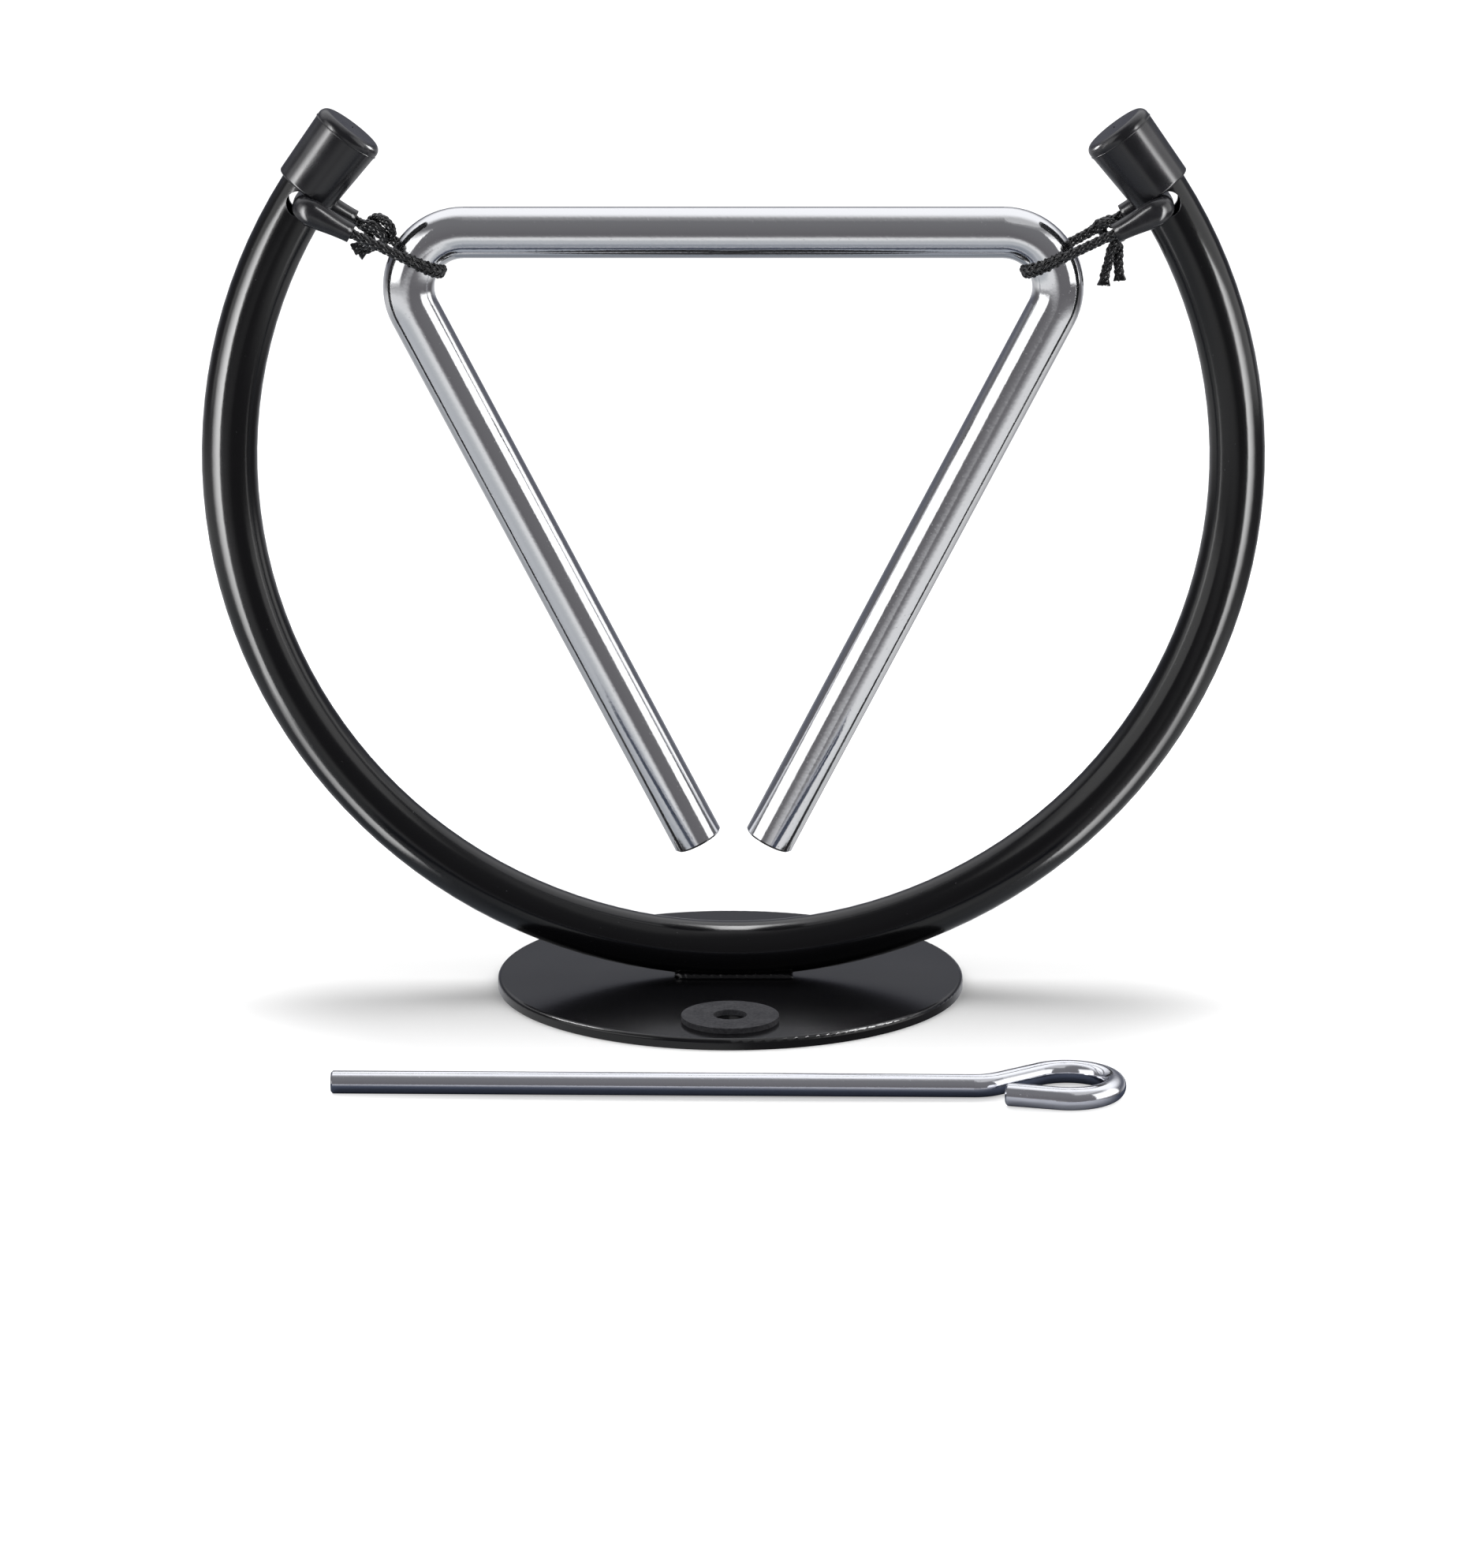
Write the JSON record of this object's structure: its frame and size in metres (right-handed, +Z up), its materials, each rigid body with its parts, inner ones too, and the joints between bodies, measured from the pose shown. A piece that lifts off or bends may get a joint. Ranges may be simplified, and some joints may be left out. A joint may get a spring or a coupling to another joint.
{
  "type": "triangle instrument",
  "caption": "Chrome steel triangle hung by cord loops inside an open black hoop stand on a round base, with a straight metal beater that ends in an eye.",
  "frame": {"origin": "on the underside of the round base plate, in the plane of the hoop and below its middle; the plate's own centre lies 1.6 mm behind it and 0.7 mm to its left", "axes": "+Z up, +X to the right seen from the front, the front (washer and beater side) towards -Y; the hoop and the triangle lie in the XZ plane"},
  "size_m": [0.2292, 0.1469, 0.1938],
  "materials": {
    "powder_coat": "gloss black powder coat on mild steel",
    "washer_rubber": "matte dark grey rubber with a cut edge",
    "cap_rubber": "semi-gloss moulded black rubber",
    "sleeve_tubing": "semi-gloss soft black tubing",
    "braided_cord": "black braided cord with melted ends",
    "chrome_rod": "bright chrome plate on a drawn steel rod"
  },
  "bodies": {
    "stand": {"base_plate": "powder_coat", "front_weld": "powder_coat", "rear_weld": "powder_coat", "mount_washer": "washer_rubber", "frame_tube": "powder_coat", "left_cap": "cap_rubber", "right_cap": "cap_rubber", "left_sleeve": "sleeve_tubing", "right_sleeve": "sleeve_tubing", "left_cord": "braided_cord", "right_cord": "braided_cord"},
    "triangle": {"triangle_rod": "chrome_rod"},
    "beater": {"beater": "chrome_rod"}
  },
  "joints": [
    {"name": "triangle_swing", "type": "hinge", "parent": "stand", "child": "triangle", "pos_m": [0, 0, 0.16844], "axis": [1, 0, 0], "range_deg": [-45, 45], "deforming": ["left_cord", "right_cord"]},
    {"name": "beater_lift", "type": "slide", "parent": "stand", "child": "beater", "axis": [0, 0, 1], "range_m": [0, 0.12]}
  ]
}
